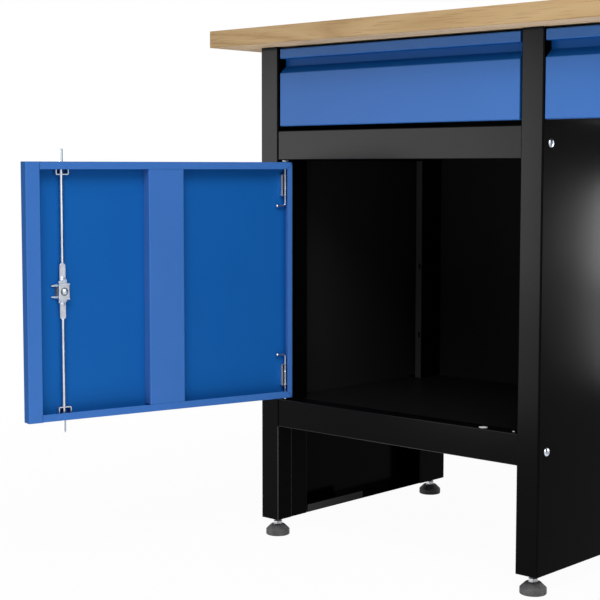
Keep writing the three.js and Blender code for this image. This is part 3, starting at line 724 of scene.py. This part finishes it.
def makeDrawer(bay):
    size = drawerSize
    (bayLeft, bayRight), gap, sheet = size["bays"][bay], size["gaps"][bay], size["sheet"]
    left, right = bayLeft + gap, bayRight - gap
    body = f"{bay}_drawer"
    front = bmesh.new()
    addSheet(front, size["front"], sheet, (left, right), "across", size["bend"])
    inside = [inner for _, inner in bentPath(size["front"], sheet, size["bend"])]
    for span in ((left, left + sheet), (right - sheet, right)):   # folded ends
        addPrism(front, inside, span, "across")
    low, high = size["groove"]   # the grip groove is painted the darker blue: painted shade
    paintWhere(front, 1, lambda spot, normal: spot.y > size["grooveFrom"] and low < spot.z < high)
    dressNode(f"{body}_front", front, body, ["blueWithPaintedSheen", "bluePaintedShade"], benchPlace)

    wallLeft, wallRight = bayLeft + size["runnerSpace"], bayRight - size["runnerSpace"]
    floor, rim, flange = size["trayFloor"], size["trayRim"], size["trayFlange"]
    y0, y1 = size["trayDepth"]
    tray = bmesh.new()
    addSheet(tray, [(wallLeft - flange, rim), (wallLeft, rim), (wallLeft, floor), (wallRight, floor),
                    (wallRight, rim), (wallRight + flange, rim)], -sheet, (y0, y1), "back")
    lap = size["lap"]
    for start, top in ((y0, size["wallTop"]), (y1 - sheet, rim)):   # front and rear walls
        addBlock(tray, (wallLeft + lap, start, floor + lap), (wallRight - lap, start + sheet, top),
                 size["wallEdge"])
    dressNode(f"{body}_tray", tray, body, ["blackCoat"], benchPlace)

    seats = (("left", bayLeft + size["seat"], Matrix()), ("right", bayRight - size["seat"], mirrorAcross))
    for hand, face, turn in seats:
        runner = bmesh.new()
        addSheet(runner, size["runner"], size["runnerSheet"], size["runnerDepth"], "back")
        place = benchPlace @ Matrix.Translation((face, 0, 0)) @ turn
        dressNode(f"{body}_{hand}_runner", runner, "frame", ["runnerSteel"], place)


# Doors, drawn shut from the hinge edge, the front face and the bottom edge
doorSize = {
    "width": 470.5, "height": 392, "depth": 20, "sheet": 1, "bend": 1.3,
    "hingeLip": 10.5, "freeLip": 22, "endLip": 11.5, "seam": 0.7, "mitre": 1.1, "lap": 0.2,
    "pivot": (6, 6), "rod": (408, 7), "pinHole": 2.35, "rodHole": 3.35, "lockHole": 9.3,
    "stiffener": [(204.25, 1.3), (204.25, 20), (266.25, 20), (266.25, 1.3)], "stiffenerSpan": (11.8, 380.2),
}
doorPlace = {}
for side in sides:
    hinge = joints[f"{side}_door_hinge"]
    pivot = Vector(hinge["pos_m"]) * 1000
    opened = math.radians(hinge["range_deg"][1]) if side == "left" else 0   # the left door stands open
    handed = Matrix() if side == "left" else mirrorAcross
    bottom = corners(f"{side}_door_panel")[0].z
    hung = Matrix.Translation((pivot.x, pivot.y, bottom)) @ Matrix.Rotation(-opened, 4, "Z") @ handed
    doorPlace[side] = hung @ Matrix.Translation((-doorSize["pivot"][0], -doorSize["pivot"][1], 0))

turnOver = Matrix.Translation((0, 0, doorSize["height"])) @ Matrix.Diagonal((1, 1, -1, 1))
endTurn = {"upper": Matrix(), "lower": turnOver}
lockCentre = Vector((doorSize["rod"][0], 0, doorSize["height"] / 2))
halfTurn = Matrix.Translation(lockCentre) @ Matrix.Rotation(math.pi, 4, "Y") @ Matrix.Translation(-lockCentre)
rodTurn = {"upper": Matrix(), "lower": halfTurn}


def mitreCutter(way):   # one side of the slanted seam where the hinge lip meets the end lip
    size = doorSize
    high, depth, across, down = size["height"], size["depth"], size["hingeLip"], size["endLip"]
    shift = -way * size["mitre"] / 2
    past = 1.02   # the seam runs just past the lips' inner corner
    far = high + way * 3 * down
    outline = [(-across, high + down + shift), (across * past, high - down * past + shift),
               (across * past, far), (-across, far)]
    cutter = bmesh.new()
    addPrism(cutter, outline, (depth - size["sheet"] - 0.1, depth + through), "back")
    return cutter


def addDoorEnd(bm, turn):   # folded top edge with its lip
    size = doorSize
    width, high, depth, sheet = size["width"], size["height"], size["depth"], size["sheet"]
    lipEnd = width - size["freeLip"] - size["seam"]
    edge = bmesh.new()
    addSheet(edge, [(sheet, high), (depth, high), (depth, high - size["endLip"])], sheet,
             (sheet - size["lap"], lipEnd), "across", size["bend"])
    for spot, hole in (("rod", "rodHole"), ("pivot", "pinHole")):
        cutHole(edge, size[spot], size[hole], (high - 2 * through, high + 2 * through))
    cutAway(edge, mitreCutter(-1))
    addInto(bm, edge, turn)
    corner = bmesh.new()
    addBlock(corner, (lipEnd, sheet, high - sheet), (width - sheet + size["lap"], depth - 0.3, high), 0.05)
    addInto(bm, corner, turn)


def makeDoorPanel(side):
    size = doorSize
    width, high, depth, sheet = size["width"], size["height"], size["depth"], size["sheet"]
    body, place = f"{side}_door", doorPlace[side]
    bm = bmesh.new()
    addSheet(bm, [(size["hingeLip"], depth), (0, depth), (0, 0), (width, 0), (width, depth),
                  (width - size["freeLip"], depth)], -sheet, (0, high), "up", size["bend"])
    cutHole(bm, lockCentre.xz, size["lockHole"], (-through, sheet + through), "back", 32)
    for turn in endTurn.values():
        cutter = mitreCutter(1)
        cutter.transform(turn)
        cutAway(bm, cutter)
    for turn in endTurn.values():
        addDoorEnd(bm, turn)
    paintWhere(bm, 1, lambda spot, normal: abs(normal.y) > squarely and meets(spot.y, sheet))   # inner skin, in the darker blue without the painted sheen: painted shade
    paintWhere(bm, 1, lambda spot, normal: normal.x > squarely and meets(spot.x, width))   # free edge, in the darker blue without the painted sheen: painted shade
    dressNode(f"{side}_door_panel", bm, body, ["blueWithPaintedSheen", "bluePaintedShade"], place)
    stiffener = bmesh.new()
    addSheet(stiffener, size["stiffener"], sheet, size["stiffenerSpan"], "up", size["bend"])
    dressNode(f"{side}_door_stiffener", stiffener, body, ["blueWithPaintedSheen"], place)


# Rod lock
lockSize = {
    "half": (9, 12.5), "depth": (2, 14), "edge": 0.9, "rackSpace": (7.0, 5.4, 8.6), "bore": 4.6,
    "rosette": [(6.8, -2.5), (11.8, -2.5), (12.7, -2), (13, -1.3), (13, -0.3), (9, -0.3), (9, 2.3),
                (4.6, 2.3), (4.6, -1.3), (6.8, -1.3)],
    "prong": [(8, 7.5), (10, 7.5), (16.2, 7.5), (17, 7.95), (17, 8.85), (16.2, 9.3), (10, 10.5), (8, 10.5)],
    "prongDepth": (2, 4), "plug": (6.5, -2.3, -1.3), "plugEdge": 0.4, "keySlot": (1.6, 7, 0.8),
    "spindle": 4.3, "head": 4.9, "headSpan": (14.6, 18.8), "headRim": 0.7, "driverSlot": (-3.85, 0.7),
    "ribLevel": 11.2, "ribHalf": (8.9, 1.2), "ribRise": (13.5, 15.1),
    # painted shade: a dark ring round the spindle head and a dark block between the prongs
    "shadeRing": [(4.7, 13.8), (6.2, 13.8), (6.2, 14.25), (4.7, 14.25)],
    "shadeBlock": ((8.7, 2.5, -6.5), (10.1, 9, 6.5)),
}


def makeLock(side):
    size = lockSize
    x, _, z = lockCentre
    halfWide, halfHigh = size["half"]
    y0, y1 = size["depth"]
    case = bmesh.new()
    addBlock(case, (x - halfWide, y0, z - halfHigh), (x + halfWide, y1, z + halfHigh), size["edge"], 2)
    rack, rackLow, rackHigh = size["rackSpace"]
    cutBlock(case, (x - rack, rackLow, z - halfHigh - 1), (x + rack, rackHigh, z + halfHigh + 1), 0.1)
    cutHole(case, (x, z), size["bore"], (y0 - 1, y1 + 1), "back")
    addTurned(case, size["rosette"], lockCentre, "back", 48, closed=True)
    for way in (-1, 1):
        addPrism(case, [(x + a, z + way * b) for a, b in size["prong"]], size["prongDepth"], "back")
    paintWhere(case, 1, lambda spot, normal: normal.y > squarely and meets(spot.y, y1))
    (ribWide, ribHalf), (ribLow, ribHigh) = size["ribHalf"], size["ribRise"]
    for way in (-1, 1):   # the case is turned over at both ends
        middle = z + way * size["ribLevel"]
        addBlock(case, (x - ribWide, ribLow, middle - ribHalf),
                 (x + ribWide, ribHigh, middle + ribHalf), 0.5, 2)
    body, place = f"{side}_door", doorPlace[side]
    dressNode(f"{body}_lock_body", case, body, ["zincPlate", "dullZinc"], place)

    # dark plastic ring and block put where shade falls round the spindle head and between the prongs: painted
    # shade
    trim = bmesh.new()
    addTurned(trim, size["shadeRing"], lockCentre, "back", 36, closed=True)
    addBlock(trim, *(lockCentre + Vector(corner) for corner in size["shadeBlock"]), 0.6, 2)
    makePiece(f"{side}DoorLockPaintedShade", trim, body, ["footPlastic"], place)

    (low, high), (plug, plugFace, plugBack), plugEdge = size["headSpan"], size["plug"], size["plugEdge"]
    bar, head, rim = size["spindle"], size["head"], low + size["headRim"]
    profile = [(0, plugFace), (plug - plugEdge, plugFace), (plug, plugFace + plugEdge), (plug, plugBack),
               (bar, plugBack), (bar, low), (head, low), (head, rim)]
    profile += [(head * math.cos(turn), rim + (high - rim) * math.sin(turn))
                for turn in anglesTo(math.pi / 2, 6)[1:-1]]
    spindle = bmesh.new()
    addTurned(spindle, profile + [(0, high)], lockCentre, "back", 36)
    wide, tall, deep = size["keySlot"]
    half = wide / 2
    cutBlock(spindle, (x - half, plugFace - 1, z - tall / 2), (x + half, plugFace + deep, z + tall / 2), 0.2)
    left, right = size["driverSlot"]
    cutBlock(spindle, (x + left, high - deep, z - half), (x + right, high + 1, z + half), 0.2)
    dressNode(f"{body}_lock_spindle", spindle, f"{side}_lock", ["zincPlate"], place)


rodSize = {
    "flat": (4.8, 1.3), "flatSpan": (17.5, 38.5), "ease": 0.35, "chamfer": 0.9,
    "bar": [(0, 40.7), (1.17, 40.7), (1.43, 41.7), (2.9, 44.3), (2.9, 214.8), (2, 216), (0, 216)],
    "sunk": (3.5, 22.5, 39.5, 0.35), "rack": (-6.7, -4.7), "rackSpan": (-16, 17.8), "rackEdge": 0.25,
    "link": (4.6, 1.2), "linkSpan": (7, 18.4),
    "rivet": [(0, -0.3), (3, -0.3), (3, 0.8), (2.1, 1.5), (0, 1.7)], "rivetRise": 19.6,
}


def addFlat(bm, x, depth, low, high):   # the end of the bar pressed flat, round at the top
    (wide, thin), ease, chamfer = rodSize["flat"], rodSize["ease"], rodSize["chamfer"]
    rings = []
    for trim, half in ((ease, thin), (0, thin - ease), (0, ease - thin), (ease, -thin)):
        reach, foot = wide - trim, low + trim
        spots = [(x - reach, foot + chamfer), (x - reach + chamfer, foot), (x + reach - chamfer, foot),
                 (x + reach, foot + chamfer)]
        spots += [(x + reach * math.cos(turn), high + reach * math.sin(turn))
                  for turn in anglesTo(math.pi, 16)]
        rings.append([bm.verts.new((a, depth + half, b)) for a, b in spots])
    joinRings(bm, rings)
    bm.faces.new(rings[0])
    bm.faces.new(rings[-1])


def makeRod(side, end):
    size = rodSize
    thin = size["flat"][1]
    x, depth = doorSize["rod"]
    middle = doorSize["height"] / 2
    low, high = (middle + level for level in size["flatSpan"])
    face = depth + thin
    bm = bmesh.new()
    addFlat(bm, x, depth, low, high)
    half, sunkLow, sunkHigh, deep = size["sunk"]
    cutBlock(bm, (x - half, face - deep, middle + sunkLow), (x + half, face + through, middle + sunkHigh))
    paintWhere(bm, 1, lambda spot, normal: normal.y > squarely and meets(spot.y, face - deep))
    addTurned(bm, size["bar"], (x, depth, middle), count=24)   # the round bar runs out of the flat
    (rackLeft, rackRight), (rackLow, rackHigh) = size["rack"], size["rackSpan"]
    addBlock(bm, (x + rackLeft, depth - thin, middle + rackLow),
             (x + rackRight, face, middle + rackHigh), size["rackEdge"])
    (half, thick), (linkLow, linkHigh) = size["link"], size["linkSpan"]
    addBlock(bm, (x - half, depth - thick, middle + linkLow), (x + half, depth + thick, middle + linkHigh))
    addTurned(bm, size["rivet"], (x, face, middle + size["rivetRise"]), "back", 20)
    dressNode(f"{side}_door_{end}_rod", bm, f"{side}_{end}_rod", ["zincPlate", "dullZinc"],
              doorPlace[side] @ rodTurn[end])


guideSize = {"half": 10.5, "depth": (2.5, 11.5), "span": (372, 390.7), "strap": 1.5}


def makeRodGuide(side, end):
    low, high = guideSize["span"]
    x, strap = doorSize["rod"][0], guideSize["strap"]
    left, right = x - guideSize["half"], x + guideSize["half"]
    bm = bmesh.new()
    addSheet(bm, [(left, high), (left, low), (right, low), (right, high)], -strap, guideSize["depth"], "back")
    cutHole(bm, doorSize["rod"], doorSize["rodHole"], (low - through, low + strap + through))
    dressNode(f"{side}_door_{end}_rod_guide", bm, f"{side}_door", ["zincPlate"],
              doorPlace[side] @ endTurn[end])


# Spring pins that the doors swing on
hingeSize = {
    "bracket": [(11.3, 372), (1.3, 372), (1.3, 336), (11.3, 336)], "bracketSpan": (1.3, 14),
    "bracketSheet": 1, "bracketBend": 0.5, "shadedWebDepth": 3, "wall": (11.8, 1.5, 8.2), "lap": 0.2,
    "pin": 1.75, "pinTip": 405, "bend": 4, "handleLevel": 320, "handleEnd": 21.6, "knob": 2.7,
    "collar": 3.2, "collarSpan": (369.2, 370.7), "collarLap": 0.3,
    "springSpan": (337.6, 368.9), "springRadius": 3.05, "wire": 1.2, "curls": 9, "curlSteps": 20,
    "keep": 0.615,
}


def makeHinge(side, end):
    size = hingeSize
    node, body = f"{side}_door_{end}_hinge", f"{side}_door"
    x, y = doorSize["pivot"]
    place = doorPlace[side] @ endTurn[end]
    (_, upper), _, _, (_, lower) = size["bracket"]
    bracket = bmesh.new()
    addSheet(bracket, size["bracket"], -size["bracketSheet"], size["bracketSpan"], "across",
             size["bracketBend"])
    cutHole(bracket, (x, y), doorSize["pinHole"], (lower - 2 * through, upper + 2 * through))
    # the bracket's web face takes the dark plastic grey: painted shade
    paintWhere(bracket, 1, lambda spot, normal: normal.y > squarely and spot.y < size["shadedWebDepth"])
    (wallStart, low, high), lap = size["wall"], size["lap"]
    addBlock(bracket, (wallStart, low, lower + lap), (size["bracketSpan"][1], high, upper - lap))
    dressNode(node + "_bracket", bracket, body, ["dullZinc", "footPlastic"], place)

    bend, level, handle, knob = size["bend"], size["handleLevel"], size["handleEnd"], size["knob"]
    points = [(x, y, size["pinTip"]), (x, y, size["pinTip"] - 3)]
    points += [(x + bend * (1 - math.cos(turn)), y, level + bend * (1 - math.sin(turn)))
               for turn in anglesTo(math.pi / 2, 8)]
    pin = bmesh.new()
    addTube(pin, points + [(handle, y, level)], size["pin"], 16)
    ball = [(knob * math.sin(turn), -knob * math.cos(turn)) for turn in anglesTo(math.pi, 10)[1:-1]]
    addTurned(pin, [(0, -knob), *ball, (0, knob)], (handle, y, level), "across", 20)
    low, high = size["collarSpan"]
    inner, outer = size["pin"] - size["collarLap"], size["collar"]
    collar = [(inner, low), (outer, low), (outer, high), (inner, high)]
    addTurned(pin, collar, (x, y, 0), count=20, closed=True)
    dressNode(node + "_pin", pin, f"{side}_{end}_pin", ["zincPlate"], place)

    low, high = size["springSpan"]
    wire, radius, steps = size["wire"], size["springRadius"], size["curls"] * size["curlSteps"]
    climb = (high - low - wire) / (2 * math.pi * size["curls"])
    spring = bmesh.new()
    addTube(spring, [(x + radius * math.cos(turn), y + radius * math.sin(turn), low + wire / 2 + climb * turn)
                     for turn in anglesTo(2 * math.pi * size["curls"], steps)], wire / 2, 8, 0.3)
    coil = dressNode(node + "_spring", spring, body, ["zincPlate"], place)
    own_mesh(coil)


makeWorkTop()
makeTieBeam()
for side in sides:
    makeCabinet(side)
    for column in ("Outer", "Inner"):
        makeSidePanel(side, column)
        makeScrews(side, column)
        for row in ("Front", "Rear"):
            makeFoot(side, row, column)
    makeBushes(side)
print("frame dressed")
for bay in drawerSize["bays"]:
    makeDrawer(bay)
print("drawers dressed")
for side in sides:
    makeDoorPanel(side)
    makeLock(side)
    for end in endTurn:
        makeRod(side, end)
        makeRodGuide(side, end)
        makeHinge(side, end)
print("doors dressed")


# Floor, light and camera
stageValues = {
    "floor": (0.86, 0.86, 0.86), "floorReach": 20, "roughness": 0.9, "specular": 0.1,
    "glowNear": 0.965, "nearBy": 0.9, "farOff": 2.6, "worldFill": 0.16,
}


def paleWhere(tree, strength):   # the strength where the camera, a mirror or glass looks, and 0 elsewhere
    rays = tree.nodes.new("ShaderNodeLightPath")
    seen = addMath(tree, "MAXIMUM", rays.outputs["Is Camera Ray"], rays.outputs["Is Glossy Ray"])
    seen = addMath(tree, "MAXIMUM", seen, rays.outputs["Is Transmission Ray"])
    return addMath(tree, "MULTIPLY", seen, strength)


def makeFloor():
    values = stageValues
    bm = bmesh.new()
    bmesh.ops.create_grid(bm, x_segments=1, y_segments=1, size=values["floorReach"])
    mesh = bpy.data.meshes.new("studioFloor")
    bm.to_mesh(mesh)
    bm.free()
    floor = addObject("studioFloor", mesh)
    material, tree, shader = newMaterial("paleFloor")
    shader.inputs["Base Color"].default_value = (*values["floor"], 1)
    shader.inputs["Roughness"].default_value = values["roughness"]
    shader.inputs["Specular IOR Level"].default_value = values["specular"]
    glow = addNode(tree, "ShaderNodeEmission", Color=(1, 1, 1, 1), Strength=1.0)
    spots = tree.nodes.new("ShaderNodeTexCoord").outputs["Object"]
    away = addNode(tree, "ShaderNodeVectorMath", operation="LENGTH", Vector=spots)
    near, far = values["nearBy"], values["farOff"]   # the far floor runs out into the white backdrop
    share = addMath(tree, "DIVIDE", addMath(tree, "SUBTRACT", away.outputs["Value"], near), far - near)
    fade = addRamp(tree, share, ((0.0, values["glowNear"]), (1.0, 1.0)))
    mix = addNode(tree, "ShaderNodeMixShader", Fac=paleWhere(tree, fade))
    tree.links.new(shader.outputs[0], mix.inputs[1])
    tree.links.new(glow.outputs[0], mix.inputs[2])
    tree.links.new(mix.outputs[0], tree.nodes["Material Output"].inputs["Surface"])
    mesh.materials.append(material)


def makeWorld():
    world = bpy.data.worlds.new("studio")
    world.use_nodes = True
    scene.world = world
    tree = world.node_tree
    background = tree.nodes["Background"]
    background.inputs["Color"].default_value = (1, 1, 1, 1)
    fill = stageValues["worldFill"]
    tree.links.new(addMath(tree, "ADD", paleWhere(tree, 1 - fill), fill), background.inputs["Strength"])


lamps = {   # where it stands, what it looks at, width and height, power, what it gives
    "mirrorSoftbox": ((-3.75, -4.0, 0.68), (-0.5, -0.05, 0.68), (2.1, 1.17), 110, "gloss"),
    "mirrorStrip": ((-1.14, -1.3, 0.22), (-0.3, -0.05, 0.35), (0.36, 0.42), 2.2, "gloss"),
    "overheadSoftbox": ((0.8, -1.7, 2.5), (-0.5, -0.1, 0.6), (2.0, 1.6), 72, "both"),
    "rightSoftbox": ((2.3, -1.3, 0.95), (-0.8, -0.28, 0.45), (1.4, 1.4), 8, "both"),
    "floorBounce": ((-0.2, -1.0, 0.02), (-0.2, -1.0, 1.0), (2.8, 1.7), 13, "light"),
    "rearGlow": ((0.35, 1.2, 0.475), (-0.23, 0.05, 0.475), (0.15, 0.27), 3.4, "gloss"),
    "rearGlowWide": ((0.35, 1.2, 0.35), (-0.23, 0.05, 0.35), (0.17, 0.49), 2.9, "gloss"),
}


def makeLamp(name, at, to, size, power, gives):
    data = bpy.data.lights.new(name, "AREA")
    data.shape = "ELLIPSE" if "Glow" in name else "RECTANGLE"
    data.size, data.size_y = size
    data.energy = power
    lamp = addObject(name, data)
    lamp.location = at
    lamp.rotation_euler = (Vector(to) - Vector(at)).to_track_quat("-Z", "Y").to_euler()
    lamp.visible_camera = False
    lamp.visible_diffuse = gives != "gloss"
    lamp.visible_glossy = gives != "light"


cameraValues = {
    "at": (0.90178, -1.80213, 0.62208), "tilt": 85.170, "turn": 42.826, "lens": 86.85, "sensor": 36,
    "shift": (0.0186, -0.0148),
}


def makeCamera():
    data = bpy.data.cameras.new("photoCamera")
    data.sensor_width = cameraValues["sensor"]
    data.lens = cameraValues["lens"]
    data.shift_x, data.shift_y = cameraValues["shift"]
    camera = addObject("photoCamera", data)
    camera.location = cameraValues["at"]
    camera.rotation_euler = (math.radians(cameraValues["tilt"]), 0, math.radians(cameraValues["turn"]))
    scene.camera = camera


makeFloor()
makeWorld()
for name, values in lamps.items():
    makeLamp(name, *values)
makeCamera()
print("stage set")
